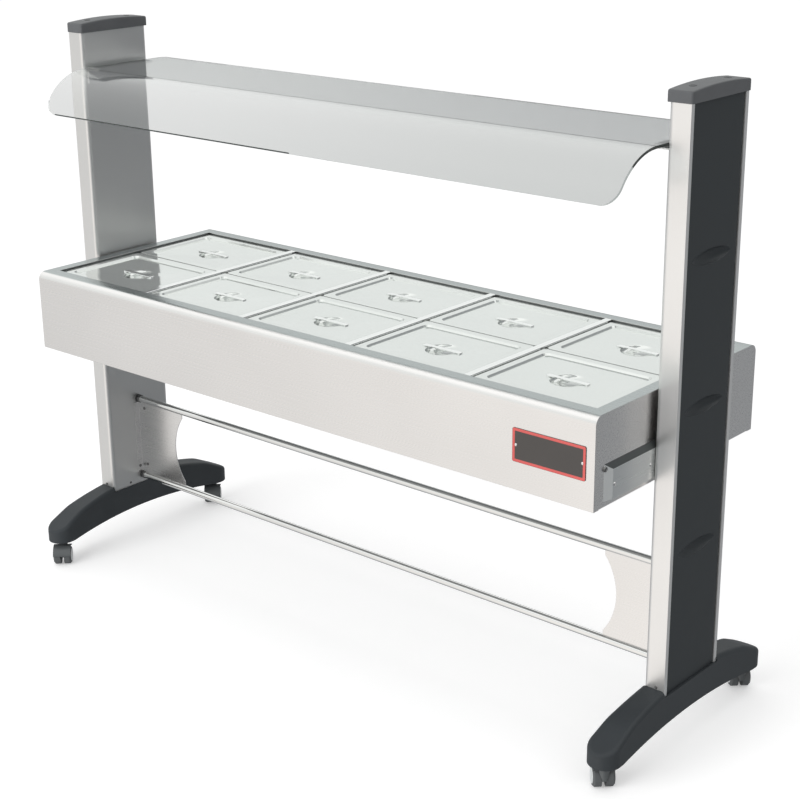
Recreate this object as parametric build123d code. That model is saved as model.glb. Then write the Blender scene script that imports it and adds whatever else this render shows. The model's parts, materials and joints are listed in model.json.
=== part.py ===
from build123d import *
import os
from math import cos, radians, sin

os.makedirs("parts", exist_ok=True)

# Cold buffet counter. Millimetres, +Z up, +X along the counter, guests stand on the -Y side.
# The origin is on the floor under the middle of the counter.

# Pans: half-size gastronorm trays in columns and two rows
columns = 5
pan_length = 325.0
pan_width = 265.0
pan_depth = 65.0
pan_sheet = 1.0
pan_flange = 12.0
pan_corner = 14.0
tub_corner = 22.0
tub_draft = 4.0
tub_bottom_edge = 9.0

# Lids: flat border, step, hipped panel, round dimple and a strap handle
lid_sheet = 1.0
lid_inset = 1.0
lid_border = 20.0
lid_step = 4.0
lid_step_run = 3.0
lid_hip = 3.0
middle_length = 106.0
middle_width = 86.0
dimple_radius = 37.0
dimple_depth = 11.0
dimple_draft = 25.0
handle_length = 118.0
handle_width = 16.0
handle_sheet = 2.0
handle_foot = 10.0
handle_ramp = 3.0
handle_rise = 10.0

# Basin: sheet casing with rounded long top edges and an insulated well
sheet = 1.2
bar_width = 20.0
bar_lip = 9.0
bar_rise = 3.2
bar_play = 1.0
row_gap = 3.0
pan_play = 1.5
end_rim = 22.0
side_rim = 46.0
basin_bottom = 643.0
basin_height = 205.0
edge_radius = 30.0
base_flange = 18.0
end_flange = 12.0
ledge_drop = 10.0
ledge_width = 9.0
well_depth = 148.0
well_flange = 5.0
well_corner = 12.0
foam = 20.0

# Cold packs and drain
pack_length = 270.0
pack_width = 200.0
pack_height = 28.0
pack_corner = 24.0
pack_edge = 6.0
drain_flange_radius = 27.0
drain_flange_sheet = 2.0
drain_neck_radius = 16.0
drain_neck_length = 30.0
drain_body_radius = 20.0
drain_body_height = 34.0
spigot_radius = 10.0
spigot_length = 28.0
drain_bore = 7.0
lever_boss_radius = 8.0
lever_boss_reach = 28.0
lever_stem_radius = 4.0
lever_stem_length = 6.0
lever_hub_radius = 9.0
lever_length = 72.0
lever_width = 12.0
lever_sheet = 3.0

# Hangers between the basin ends and the posts
hanger_depth = 15.0
hanger_height = 67.0
hanger_front = 259.0
hanger_back = 196.0
hanger_drop = 124.0
hanger_sheet = 2.0

# Posts: open extrusion, infill panel and cap
post_width = 52.0
post_depth = 218.0
post_wall = 3.0
post_corner = 11.0
post_lip = 11.0
post_bottom = 156.0
post_top = 1444.0
port_depth = 9.0
port_width = 10.0
port_slot = 4.0
port_spread = 140.0
core_inset = 16.0
core_thickness = 25.0
core_height = 50.0
panel_sheet = 3.0
scoop_count = 3
scoop_length = 150.0
scoop_height = 22.0
scoop_depth = 5.0
cap_overhang = 3.0
cap_height = 24.0
cap_crown = 7.0
cap_edge = 4.0
cap_corner = 6.0

# Feet and casters
foot_margin = 2.5
foot_flare = 9.5
foot_shift = 5.0
foot_half_length = 324.0
foot_bottom = 67.0
foot_arch = 22.0
foot_arch_reach = 270.0
foot_crown = 176.0
foot_shoulder = 142.0
foot_shoulder_reach = 240.0
foot_chin = 34.0
foot_blend = 150.0
foot_edge = 11.0
foot_wall = 6.0
foot_boss = 40.0
wheel_radius = 25.0
wheel_width = 19.0
wheel_gap = 10.0
wheel_edge = 4.0
axle_radius = 4.0
caster_trail = 17.0
caster_turn = 134.0
web_play = 1.0
web_radius = 9.0
fender_gap = 2.5
fender_sheet = 2.5
fender_start = 12.0
fender_end = 132.0
stem_boss_radius = 12.0
stem_radius = 5.5
stem_length = 36.0

# Rails and gussets
rail_radius = 9.5
rail_wall = 1.5
upper_rail_height = 411.0
lower_rail_height = 179.0
rail_plug = 22.0
gusset_sheet = 2.0
gusset_width = 183.0
gusset_horn = 12.0
gusset_moon = 33.0
gusset_flange = 36.0

# Sneeze guard and its brackets
glass_sheet = 6.0
glass_length = 1748.0
glass_top = 1357.0
glass_back = 151.0
glass_bend_start = 118.0
glass_bend_radius = 150.0
glass_bend = 70.0
glass_corner = 40.0
glass_back_corner = 10.0
pad_sheet = 1.5
bracket_reach = 42.0
bracket_drop = 38.0
bracket_length = 190.0
bracket_sheet = 3.0
bracket_edge = 8.0

# Name plate and bolts
plate_length = 184.0
plate_height = 75.0
plate_sheet = 1.5
plate_corner = 4.0
plate_end_gap = 14.0
plate_drop = 67.0
bolt_radius = 4.0
bolt_head_radius = 7.5
bolt_head = 5.0
bolt_spread_y = 90.0
bolt_spread_z = 36.0

# Clearances
fit_gap = 0.2
bolt_gap = 0.2
run_gap = 0.05
swivel_gap = 0.4

# Places worked out from the sizes above
column_pitch = pan_length + bar_width
row_pitch = pan_width + row_gap
column_places = [(index - (columns - 1) / 2) * column_pitch for index in range(columns)]
row_places = {"front": -row_pitch / 2, "back": row_pitch / 2}
well_length = columns * pan_length + (columns - 1) * bar_width + 2 * pan_play
well_width = 2 * pan_width + row_gap + 2 * pan_play
basin_length = well_length + 2 * end_rim
basin_width = well_width + 2 * side_rim
rim_top = basin_bottom + basin_height
ledge_top = rim_top - ledge_drop
well_floor = rim_top - well_depth
tub_length = well_length - 2 * ledge_width
tub_width = well_width - 2 * ledge_width
pan_seat = ledge_top + fit_gap
lid_seat = pan_seat + pan_sheet + fit_gap
lid_top = lid_seat + lid_sheet
basin_end = basin_length / 2
post_inner = basin_end + hanger_depth
post_outer = post_inner + post_width
post_middle = (post_inner + post_outer) / 2
hanger_middle = rim_top - hanger_drop - hanger_height / 2
foot_waist = post_width / 2 + foot_margin
foot_tip_radius = foot_waist + foot_flare
foot_tip_x = post_middle - foot_shift
foot_tip_y = foot_half_length - foot_tip_radius
drain_x = column_pitch * (columns / 2 - 1)
drain_y = row_pitch / 2
drain_body_top = basin_bottom - drain_neck_length
lever_height = drain_body_top - drain_body_height / 2
bolt_places = [(y, z) for y in (-bolt_spread_y / 2, bolt_spread_y / 2)
               for z in (hanger_middle - bolt_spread_z / 2, hanger_middle + bolt_spread_z / 2)]
rail_heights = {"upper_rail": upper_rail_height, "lower_rail": lower_rail_height}


def save(name, shape):
    export_step(shape, f"parts/{name}.step")


def box_between(low, high):
    size = [top - bottom for bottom, top in zip(low, high)]
    middle = [(top + bottom) / 2 for bottom, top in zip(low, high)]
    return Pos(*middle) * Box(*size)


def upright(sketch, low, high):
    return extrude(Pos(0, 0, low) * sketch, amount=high - low)


def along_x(section, low, high):
    return extrude(Plane.YZ.offset(low) * section, amount=high - low)


def rod(start, direction, radius, length):
    return extrude(Plane(origin=start, z_dir=direction) * Circle(radius), amount=length)


def other_side(shape):
    return mirror(shape, about=Plane.YZ)


# Basin casing, its ends and base

def casing_section(inset):
    height = basin_height - 2 * inset
    section = Pos(0, basin_bottom + basin_height / 2) * Rectangle(basin_width - 2 * inset, height)
    return fillet(section.vertices().group_by(Axis.Y)[-1], edge_radius - inset)


def make_basin_casing():
    mouth = basin_width / 2 - base_flange
    skin = casing_section(0) - casing_section(sheet)
    skin -= Pos(0, basin_bottom + sheet / 2) * Rectangle(2 * mouth, 2 * sheet)
    casing = along_x(skin, -basin_end, basin_end)
    opening = Rectangle(well_length, well_width)
    return casing - upright(opening, ledge_top, rim_top + sheet)


def make_basin_end():
    inset = sheet + fit_gap
    tray = along_x(casing_section(inset), basin_end - end_flange, basin_end)
    hollow = along_x(casing_section(inset + sheet), basin_end - end_flange, basin_end - sheet)
    return tray - hollow


def make_base_panel():
    length = basin_length - 2 * (end_flange + fit_gap)
    width = basin_width - 2 * (sheet + fit_gap)
    low = basin_bottom + sheet
    panel = upright(Rectangle(length, width), low, low + sheet)
    return panel - drain_hole(low - sheet, low + 2 * sheet)


def drain_hole(low, high):
    return upright(Pos(drain_x, drain_y) * Circle(drain_neck_radius + fit_gap), low, high)


# Well, foam liner, bars and cold packs

def rounded(length, width, radius):
    return RectangleRounded(length, width, radius)


def make_inner_well():
    lip_top = rim_top - sheet
    flange = Rectangle(well_length + 2 * (sheet + well_flange), well_width + 2 * (sheet + well_flange))
    collar = Rectangle(well_length + 2 * sheet, well_width + 2 * sheet)
    tub = rounded(tub_length + 2 * sheet, tub_width + 2 * sheet, well_corner + sheet)
    well = upright(flange, lip_top - sheet, lip_top)
    well += upright(collar, ledge_top - sheet, lip_top)
    well += upright(tub, well_floor - sheet, ledge_top)
    well -= upright(Rectangle(well_length, well_width), ledge_top, rim_top)
    well -= upright(rounded(tub_length, tub_width, well_corner), well_floor, ledge_top)
    return well - drain_hole(well_floor - 2 * sheet, well_floor + sheet)


def make_insulation():
    reach = sheet + fit_gap
    top = ledge_top - sheet - fit_gap
    low = well_floor - reach
    outer = Rectangle(tub_length + 2 * (reach + foam / 2), tub_width + 2 * (reach + foam))
    inner = rounded(tub_length + 2 * reach, tub_width + 2 * reach, well_corner + reach)
    liner = upright(outer, low - foam, top) - upright(inner, low, top)
    return liner - drain_hole(low - foam - sheet, low + sheet)


def make_support_bars():
    rib = bar_width / 2 - bar_play
    inside = rib - sheet
    wing = rib + bar_lip
    rib_top = ledge_top + bar_rise
    long_reach = well_width / 2 - fit_gap
    short_reach = tub_width / 2 - fit_gap
    bars = []
    for left, right in zip(column_places, column_places[1:]):
        middle = (left + right) / 2
        cap = box_between((-rib, -long_reach, ledge_top), (rib, long_reach, rib_top))
        cap -= box_between((-inside, -long_reach, ledge_top), (inside, long_reach, rib_top - sheet))
        wings = box_between((-wing, -short_reach, ledge_top - sheet), (wing, short_reach, ledge_top))
        wings -= box_between((-inside, -short_reach, ledge_top - sheet), (inside, short_reach, ledge_top))
        bars.append(Pos(middle, 0, 0) * (cap + wings))
    return Compound(children=bars)


def make_cold_packs():
    outline = Rectangle(pack_length, pack_width)
    outline = chamfer(outline.vertices(), pack_corner)
    pack = upright(outline, 0, pack_height)
    rims = pack.edges().group_by(Axis.Z)
    pack = chamfer(rims[0] + rims[-1], pack_edge)
    places = [(x, y) for x in column_places for y in row_places.values()]
    return Compound(children=[Pos(x, y, well_floor) * pack for x, y in places])


# Pans and lids, drawn about their own middle with the underside of the flange at zero

def tub_shape(inset, depth):
    length = pan_length - 2 * (pan_flange + inset)
    width = pan_width - 2 * (pan_flange + inset)
    mouth = rounded(length, width, tub_corner - inset)
    body = extrude(mouth, amount=-depth, taper=tub_draft)
    return chamfer(body.edges().group_by(Axis.Z)[0], tub_bottom_edge)


def make_pan():
    pan = upright(rounded(pan_length, pan_width, pan_corner), 0, pan_sheet)
    pan += tub_shape(0, pan_depth)
    mouth = rounded(pan_length - 2 * (pan_flange + pan_sheet), pan_width - 2 * (pan_flange + pan_sheet),
                    tub_corner - pan_sheet)
    pan -= tub_shape(pan_sheet, pan_depth - pan_sheet)
    return pan - upright(mouth, 0, 2 * pan_sheet)


def lid_hollow(grow, top):
    length = pan_length - 2 * (lid_inset + lid_border) + 2 * grow
    width = pan_width - 2 * (lid_inset + lid_border) + 2 * grow
    step_low = top - lid_step
    middle_low = step_low - lid_hip
    step_floor = Rectangle(length - 2 * lid_step_run, width - 2 * lid_step_run)
    middle = Rectangle(middle_length + 2 * grow, middle_width + 2 * grow)
    hollow = loft([Pos(0, 0, top) * Rectangle(length, width), Pos(0, 0, step_low) * step_floor], ruled=True)
    hollow += loft([Pos(0, 0, step_low) * step_floor, Pos(0, 0, middle_low) * middle], ruled=True)
    dimple = Pos(0, 0, middle_low) * Circle(dimple_radius + grow)
    return hollow + extrude(dimple, amount=-dimple_depth, taper=dimple_draft)


def make_handle(base):
    half = handle_length / 2
    foot = half - handle_foot
    flat = foot - handle_ramp
    under = handle_rise - handle_sheet
    outline = Polyline(
        (-half, 0), (-foot, 0), (-flat, under), (flat, under), (foot, 0), (half, 0),
        (half, handle_sheet), (foot, handle_sheet), (flat, handle_rise), (-flat, handle_rise),
        (-foot, handle_sheet), (-half, handle_sheet), close=True)
    strap = extrude(Plane.XZ * make_face(outline), amount=handle_width / 2, both=True)
    return Pos(0, 0, base) * strap


def make_lid():
    border = rounded(pan_length - 2 * lid_inset, pan_width - 2 * lid_inset, pan_corner - lid_inset)
    lid = upright(border, 0, lid_sheet)
    lid += lid_hollow(lid_sheet, 0)
    lid -= lid_hollow(0, lid_sheet)
    return lid + make_handle(lid_sheet - lid_step - lid_hip)


# Drain under the well: fitting with a side boss, and the quarter-turn lever in it

def make_drain_fitting():
    low = drain_body_top - drain_body_height
    top = well_floor + drain_flange_sheet
    outline = Polyline(
        (drain_bore, top), (drain_flange_radius, top), (drain_flange_radius, well_floor),
        (drain_neck_radius, well_floor), (drain_neck_radius, drain_body_top),
        (drain_body_radius, drain_body_top), (drain_body_radius, low), (spigot_radius, low),
        (spigot_radius, low - spigot_length), (drain_bore, low - spigot_length), close=True)
    fitting = revolve(Plane.XZ * make_face(outline), Axis.Z)
    boss = rod((0, drain_bore, lever_height), (0, 1, 0), lever_boss_radius, lever_boss_reach - drain_bore)
    fitting += boss - upright(Circle(drain_bore), low, top)
    socket = lever_boss_reach - lever_stem_length - fit_gap
    fitting -= rod((0, socket, lever_height), (0, 1, 0), lever_stem_radius + run_gap, lever_boss_reach)
    return Pos(drain_x, drain_y, 0) * fitting


def make_drain_lever():
    seat = lever_boss_reach + fit_gap
    stem = rod((0, seat - lever_stem_length, 0), (0, 1, 0), lever_stem_radius, lever_stem_length)
    reach = lever_length - lever_width / 2
    arm = Circle(lever_hub_radius) + Pos(reach, 0) * Circle(lever_width / 2)
    arm += Pos(reach / 2, 0) * Rectangle(reach, lever_width)
    blade = extrude(Plane.XZ.offset(-seat) * arm, amount=-lever_sheet)
    return Pos(drain_x, drain_y, lever_height) * (stem + blade)


# Hangers and bolts

def bolt_hole(x, y, z):
    return rod((x, y, z), (1, 0, 0), bolt_radius + bolt_gap, post_inner + post_wall - x)


def make_hanger():
    low = hanger_middle - hanger_height / 2
    high = low + hanger_height
    tray = box_between((basin_end, -hanger_front, low), (post_inner, hanger_back, high))
    tray -= box_between((basin_end, hanger_sheet - hanger_front, low + hanger_sheet),
                        (post_inner - hanger_sheet, hanger_back - hanger_sheet, high - hanger_sheet))
    for y, z in bolt_places:
        tray -= bolt_hole(basin_end, y, z)
    return tray


def hexagon(start, direction):
    outline = Plane(origin=start, z_dir=direction) * RegularPolygon(bolt_head_radius, 6)
    return extrude(outline, amount=bolt_head)


def make_bolt(y, z, reach):
    head_seat = post_inner + post_wall
    shank = rod((head_seat - reach, y, z), (1, 0, 0), bolt_radius, reach)
    return shank + hexagon((head_seat, y, z), (1, 0, 0))


def make_frame_bolts():
    nut_seat = post_inner - hanger_sheet
    hanger_reach = post_wall + hanger_sheet + bolt_head
    bolts = []
    for y, z in bolt_places:
        bolts.append(make_bolt(y, z, hanger_reach) + hexagon((nut_seat, y, z), (-1, 0, 0)))
    bolts += [make_bolt(0, z, post_wall + rail_plug - fit_gap) for z in rail_heights.values()]
    return Compound(children=bolts + [other_side(bolt) for bolt in bolts])


# Posts, panels and caps, drawn at the +X end

def post_outline(grow):
    outline = Pos(post_middle, 0) * Rectangle(post_width + 2 * grow, post_depth + 2 * grow)
    return fillet(outline.vertices().group_by(Axis.X)[0], post_corner + grow)


def make_post_profile():
    cavity = post_outline(-post_wall)
    section = post_outline(0) - cavity
    mouth = post_depth - 2 * post_lip
    section -= Pos(post_outer - post_wall / 2, 0) * Rectangle(2 * post_wall, mouth)
    port = Rectangle(port_depth, port_width) - Rectangle(port_depth, port_slot)
    for y in (-port_spread / 2, port_spread / 2):
        section += Pos(post_inner + post_wall + port_depth / 2, y) * port
    post = upright(section, post_bottom, post_top)
    for y, z in bolt_places + [(0, height) for height in rail_heights.values()]:
        post -= bolt_hole(post_inner, y, z)
    return post


def make_post_panel():
    half = post_depth / 2 - post_wall - fit_gap
    face = post_outer - post_wall - fit_gap
    low = post_bottom + fit_gap
    high = post_top - fit_gap
    panel = box_between((face - panel_sheet, -half, low), (face, half, high))
    behind = box_between((post_middle, -half, low), (face, half, high))
    spacing = (high - low) / (scoop_count + 1)
    for index in range(scoop_count):
        place = Pos(face, 0, low + (index + 1) * spacing)
        panel += behind & place * scoop_shape(panel_sheet)
        panel -= place * scoop_shape(0)
    return panel


def scoop_shape(grow):
    half = scoop_length / 2
    lift = (scoop_height ** 2 / 4 - scoop_depth ** 2) / (2 * scoop_depth)
    rim = -lift - grow
    outline = Polyline((rim, -half), (0, -half), (0, half), (rim, half))
    outline += ThreePointArc((rim, half), (rim - scoop_depth, 0), (rim, -half))
    return Pos(lift, 0, 0) * revolve(make_face(outline), Axis.Y)


def core_block(low, high):
    half = post_depth / 2 - post_wall - fit_gap
    near = post_inner + core_inset
    return box_between((near, -half, low), (near + core_thickness, half, high))


def make_post_cap():
    half = post_depth / 2 + cap_overhang
    low = post_top
    shoulder = post_top + cap_height
    side = make_face(
        Polyline((half, shoulder), (half, low), (-half, low), (-half, shoulder))
        + ThreePointArc((-half, shoulder), (0, shoulder + cap_crown), (half, shoulder)))
    block = along_x(side, post_inner - cap_overhang, post_outer + cap_overhang)
    plan = post_outline(cap_overhang)
    plan = fillet(plan.vertices().group_by(Axis.X)[-1], cap_corner)
    cap = block & upright(plan, low, shoulder + 2 * cap_crown)
    top_edges = cap.faces().filter_by(GeomType.CYLINDER).sort_by(Axis.Z)[-1].edges()
    cap = fillet(top_edges, cap_edge)
    return cap + core_block(post_top - core_height, post_top)


# Feet: arched side view cut by a waisted plan with round tips

def foot_plan(inset):
    radius = foot_tip_radius - inset
    tip_y = foot_tip_y
    edges = []
    for side in (-1, 1):
        waist = post_middle + side * (foot_waist - inset)
        offset = side * (waist - foot_tip_x)
        bend = (tip_y ** 2 + offset ** 2 - radius ** 2) / (2 * (radius - offset))
        share = radius / (bend + radius)
        centre = foot_tip_x + side * (offset + bend)
        touch_x = foot_tip_x + share * (centre - foot_tip_x)
        touch_y = tip_y - share * tip_y
        edges.append((touch_x, touch_y, waist))
    (left_x, left_y, left_waist), (right_x, right_y, right_waist) = edges
    outline = ThreePointArc((left_x, -left_y), (left_waist, 0), (left_x, left_y))
    outline += ThreePointArc((left_x, left_y), (foot_tip_x, tip_y + radius), (right_x, right_y))
    outline += ThreePointArc((right_x, right_y), (right_waist, 0), (right_x, -right_y))
    outline += ThreePointArc((right_x, -right_y), (foot_tip_x, -tip_y - radius), (left_x, -left_y))
    return make_face(outline)


def foot_side(drop, sink):
    end = foot_half_length + foot_tip_radius
    slope = (foot_shoulder - foot_bottom - foot_chin) / (foot_half_length - foot_shoulder_reach)
    low = foot_bottom - sink
    end_top = foot_bottom + foot_chin - drop - slope * foot_tip_radius
    shoulder = foot_shoulder - drop
    reach = foot_shoulder_reach
    flat = foot_arch_reach
    outline = ThreePointArc((-reach, shoulder), (0, foot_crown - drop), (reach, shoulder))
    outline += Polyline((reach, shoulder), (end, end_top), (end, low), (flat, low))
    outline += ThreePointArc((flat, low), (0, low + foot_arch), (-flat, low))
    outline += Polyline((-flat, low), (-end, low), (-end, end_top), (-reach, shoulder))
    face = make_face(outline)
    return fillet(face.vertices().group_by(Axis.Y)[-1], foot_blend)


def foot_body(inset, sink):
    width = foot_tip_radius + foot_shift
    block = along_x(foot_side(inset, sink), foot_tip_x - width, foot_tip_x + width)
    return block & upright(foot_plan(inset), 0, foot_crown)


def make_foot():
    foot = foot_body(0, 0)
    rim = foot.edges().filter_by(Axis.X, reverse=True).filter_by(Axis.Z, reverse=True)
    rim_low = foot_bottom + (foot_arch + foot_chin) / 2
    foot = fillet(rim.filter_by_position(Axis.Z, rim_low, foot_crown), foot_edge)
    pocket_low = foot_bottom - foot_wall
    pocket_high = post_bottom - foot_wall
    pocket_far = foot_tip_y - foot_boss
    pocket = foot_body(foot_wall, foot_wall) & box_between(
        (post_inner - post_width, foot_boss, pocket_low), (post_outer + post_width, pocket_far, pocket_high))
    foot -= pocket
    foot -= mirror(pocket, about=Plane.XZ)
    saddle = post_depth / 2 + fit_gap
    near = post_inner - post_width
    far = post_outer + post_width
    foot -= box_between((near, -saddle, post_bottom), (far, saddle, foot_crown))
    foot += core_block(post_bottom, post_bottom + core_height)
    for y in (-foot_tip_y, foot_tip_y):
        foot -= rod((foot_tip_x, y, foot_bottom), (0, 0, 1), stem_radius + run_gap, stem_length)
    return foot


# Casters, drawn with the stem on the Z axis and the wheels trailing towards +X

def make_caster_wheels():
    inner = wheel_gap / 2
    outer = inner + wheel_width
    half = [(0, 0), (axle_radius, 0), (axle_radius, inner), (wheel_radius, inner),
            (wheel_radius, outer - wheel_edge), (wheel_radius - wheel_edge, outer), (0, outer)]
    side = revolve(make_face(Polyline(*half, close=True)), Axis.Y)
    wheels = side + mirror(side, about=Plane.XZ)
    return Pos(caster_trail, 0, wheel_radius) * wheels


def make_caster_hood():
    web = wheel_gap / 2 - web_play
    inner = wheel_radius + fender_gap
    outer = inner + fender_sheet
    reach = wheel_gap / 2 + wheel_width
    boss_top = foot_bottom - swivel_gap
    axle = Plane(origin=(caster_trail, 0, wheel_radius), x_dir=(1, 0, 0), z_dir=(0, -1, 0))
    rays = [(2 * outer * cos(radians(angle)), 2 * outer * sin(radians(angle)))
            for angle in (fender_start, (fender_start + fender_end) / 2, fender_end)]
    sector = make_face(Polyline((0, 0), *rays, close=True))
    hood = extrude(axle * (Circle(outer) & sector), amount=reach, both=True)
    hood += upright(Circle(stem_boss_radius), wheel_radius, boss_top)
    hood -= extrude(axle * Circle(inner), amount=reach, both=True)
    spoke = make_hull((Circle(web_radius) + Pos(-caster_trail, inner) * Circle(web_radius)).edges())
    hood += extrude(axle * spoke, amount=web, both=True) & upright(Circle(2 * outer), 0, boss_top)
    hood += upright(Circle(stem_radius), boss_top, boss_top + stem_length - swivel_gap)
    return hood - extrude(axle * Circle(axle_radius + run_gap), amount=reach, both=True)


caster_places = {
    "front_right": (foot_tip_x, -foot_tip_y, caster_turn),
    "back_right": (foot_tip_x, foot_tip_y, caster_turn),
    "front_left": (-foot_tip_x, -foot_tip_y, caster_turn + 180),
    "back_left": (-foot_tip_x, foot_tip_y, caster_turn + 180),
}


# Rails, gussets, sneeze guard, brackets and name plate

def make_rail(height):
    bore = rail_radius - rail_wall
    tube = rod((-post_inner, 0, height), (1, 0, 0), rail_radius, 2 * post_inner)
    tube -= rod((rail_plug - post_inner, 0, height), (1, 0, 0), bore, 2 * (post_inner - rail_plug))
    for end in (-1, 1):
        tube -= rod((end * post_inner, 0, height), (-end, 0, 0), bolt_radius + run_gap, rail_plug)
    return tube


def make_gusset():
    low = lower_rail_height + rail_radius + fit_gap
    high = upper_rail_height - rail_radius - fit_gap
    tip = post_inner - gusset_width
    arc_low = low + gusset_horn
    arc_high = high - gusset_horn
    outline = Polyline(
        (tip, arc_low), (tip, low), (post_inner, low), (post_inner, high), (tip, high), (tip, arc_high))
    outline += ThreePointArc((tip, arc_high), (tip + gusset_moon, (low + high) / 2), (tip, arc_low))
    plate = extrude(Plane.XZ * make_face(outline), amount=gusset_sheet / 2, both=True)
    half = gusset_flange / 2
    return plate + box_between((post_inner - gusset_sheet, -half, low), (post_inner, half, high))


def make_sneeze_guard():
    bend_y = -glass_bend_start
    bend_z = glass_top - glass_bend_radius
    turn = radians(glass_bend)

    def on_bend(radius, share):
        return bend_y - radius * sin(share * turn), bend_z + radius * cos(share * turn)

    outside = glass_bend_radius
    inside = glass_bend_radius - glass_sheet
    under = glass_top - glass_sheet
    outline = Polyline((bend_y, under), (glass_back, under), (glass_back, glass_top), (bend_y, glass_top))
    outline += ThreePointArc((bend_y, glass_top), on_bend(outside, 0.5), on_bend(outside, 1))
    outline += Line(on_bend(outside, 1), on_bend(inside, 1))
    outline += ThreePointArc(on_bend(inside, 1), on_bend(inside, 0.5), (bend_y, under))
    glass = along_x(make_face(outline), -glass_length / 2, glass_length / 2)
    corners = glass.edges().filter_by(Axis.X, reverse=True)
    glass = fillet(corners.filter_by(Axis.Z).group_by(Axis.Y)[-1], glass_back_corner)
    straight = glass.edges().filter_by(GeomType.LINE).filter_by(Axis.X, reverse=True)
    return fillet(straight.group_by(Axis.Z)[0], glass_corner)


def make_glass_bracket():
    top = glass_top - glass_sheet - pad_sheet
    half = bracket_length / 2
    ledge = upright(Pos(post_inner - bracket_reach / 2, 0) * Rectangle(bracket_reach, bracket_length),
                    top - bracket_sheet, top)
    ledge = fillet(ledge.edges().filter_by(Axis.Z).group_by(Axis.X)[0], bracket_edge)
    back = box_between((post_inner - bracket_sheet, -half, top - bracket_drop), (post_inner, half, top))
    return ledge + back


def make_glass_pad():
    top = glass_top - glass_sheet
    low = (post_inner - bracket_reach + bracket_edge, -bracket_length / 2 + bracket_edge, top - pad_sheet)
    return box_between(low, (glass_length / 2, bracket_length / 2 - bracket_edge, top))


def make_nameplate():
    x = basin_end - plate_end_gap - plate_length / 2
    z = rim_top - plate_drop - plate_height / 2
    face = Plane(origin=(x, -basin_width / 2, z), x_dir=(1, 0, 0), z_dir=(0, -1, 0))
    return extrude(face * rounded(plate_length, plate_height, plate_corner), amount=plate_sheet)


# One file per named piece

both_sides = {
    "post_profile": make_post_profile(),
    "post_panel": make_post_panel(),
    "post_cap": make_post_cap(),
    "foot": make_foot(),
    "gusset": make_gusset(),
    "hanger": make_hanger(),
    "glass_bracket": make_glass_bracket(),
}
for name, shape in both_sides.items():
    save(f"right_{name}", shape)
    save(f"left_{name}", other_side(shape))

basin_end_plate = make_basin_end()
save("basin_right_end", basin_end_plate)
save("basin_left_end", other_side(basin_end_plate))
glass_pad = make_glass_pad()
save("glass_pads", Compound(children=[glass_pad, other_side(glass_pad)]))

save("basin_casing", make_basin_casing())
save("basin_base_panel", make_base_panel())
save("inner_well", make_inner_well())
save("insulation", make_insulation())
save("pan_support_bars", make_support_bars())
save("cold_packs", make_cold_packs())
save("drain_fitting", make_drain_fitting())
save("drain_lever", make_drain_lever())
save("frame_bolts", make_frame_bolts())
save("sneeze_guard", make_sneeze_guard())
save("nameplate", make_nameplate())
for name, height in rail_heights.items():
    save(name, make_rail(height))

pan = make_pan()
lid = make_lid()
for row, y in row_places.items():
    for number, x in enumerate(column_places, start=1):
        save(f"{row}_pan_{number}", Pos(x, y, pan_seat) * pan)
        save(f"{row}_lid_{number}", Pos(x, y, lid_seat) * lid)

hood = make_caster_hood()
wheels = make_caster_wheels()
for corner, (x, y, turn) in caster_places.items():
    place = Pos(x, y, 0) * Rot(0, 0, turn)
    save(f"{corner}_caster_hood", place * hood)
    save(f"{corner}_caster_wheels", place * wheels)
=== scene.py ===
import json
import math

import bmesh
import bpy
from mathutils import Matrix, Vector


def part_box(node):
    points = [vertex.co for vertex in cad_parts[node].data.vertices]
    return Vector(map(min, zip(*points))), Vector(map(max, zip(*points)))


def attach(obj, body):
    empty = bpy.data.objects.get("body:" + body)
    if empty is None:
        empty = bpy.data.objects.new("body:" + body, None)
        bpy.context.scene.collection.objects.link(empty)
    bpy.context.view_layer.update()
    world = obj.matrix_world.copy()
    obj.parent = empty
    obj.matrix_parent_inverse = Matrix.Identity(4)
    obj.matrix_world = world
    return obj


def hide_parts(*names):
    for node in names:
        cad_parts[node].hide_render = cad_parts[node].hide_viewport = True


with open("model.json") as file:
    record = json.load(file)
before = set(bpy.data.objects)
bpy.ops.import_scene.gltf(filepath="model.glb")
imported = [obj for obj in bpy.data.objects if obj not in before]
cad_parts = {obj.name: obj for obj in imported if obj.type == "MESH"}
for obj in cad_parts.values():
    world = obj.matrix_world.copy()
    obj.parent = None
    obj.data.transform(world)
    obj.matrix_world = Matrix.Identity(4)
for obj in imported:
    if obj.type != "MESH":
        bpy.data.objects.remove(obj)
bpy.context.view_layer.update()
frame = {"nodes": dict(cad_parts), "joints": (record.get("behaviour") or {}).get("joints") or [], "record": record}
nodes = frame["nodes"]


# Node helpers

noise_low, noise_high = 0.3, 0.7
grain_distance = 0.0002
moulded_grain = 0.12
# Heights of the surface normal where the painted shade on upward faces starts and where it is full
top_shade_starts, top_shade_full = 0.90, 0.995


def add(tree, kind, **values):
    node = tree.nodes.new(kind)
    for key, value in values.items():
        setattr(node, key, value)
    return node


def shader(name, color, metallic, roughness):
    material = bpy.data.materials.new(name)
    material.use_nodes = True
    material.diffuse_color = (*color, 1)
    bsdf = material.node_tree.nodes["Principled BSDF"]
    bsdf.inputs["Base Color"].default_value = (*color, 1)
    bsdf.inputs["Metallic"].default_value = metallic
    bsdf.inputs["Roughness"].default_value = roughness
    return material, bsdf


def noise(tree, scale, detail, stretch=(1, 1, 1)):
    coords = add(tree, "ShaderNodeTexCoord")
    mapping = add(tree, "ShaderNodeMapping")
    mapping.inputs["Scale"].default_value = stretch
    texture = add(tree, "ShaderNodeTexNoise")
    texture.inputs["Scale"].default_value = scale
    texture.inputs["Detail"].default_value = detail
    tree.links.new(coords.outputs["Object"], mapping.inputs["Vector"])
    tree.links.new(mapping.outputs["Vector"], texture.inputs["Vector"])
    return texture.outputs["Fac"]


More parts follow.
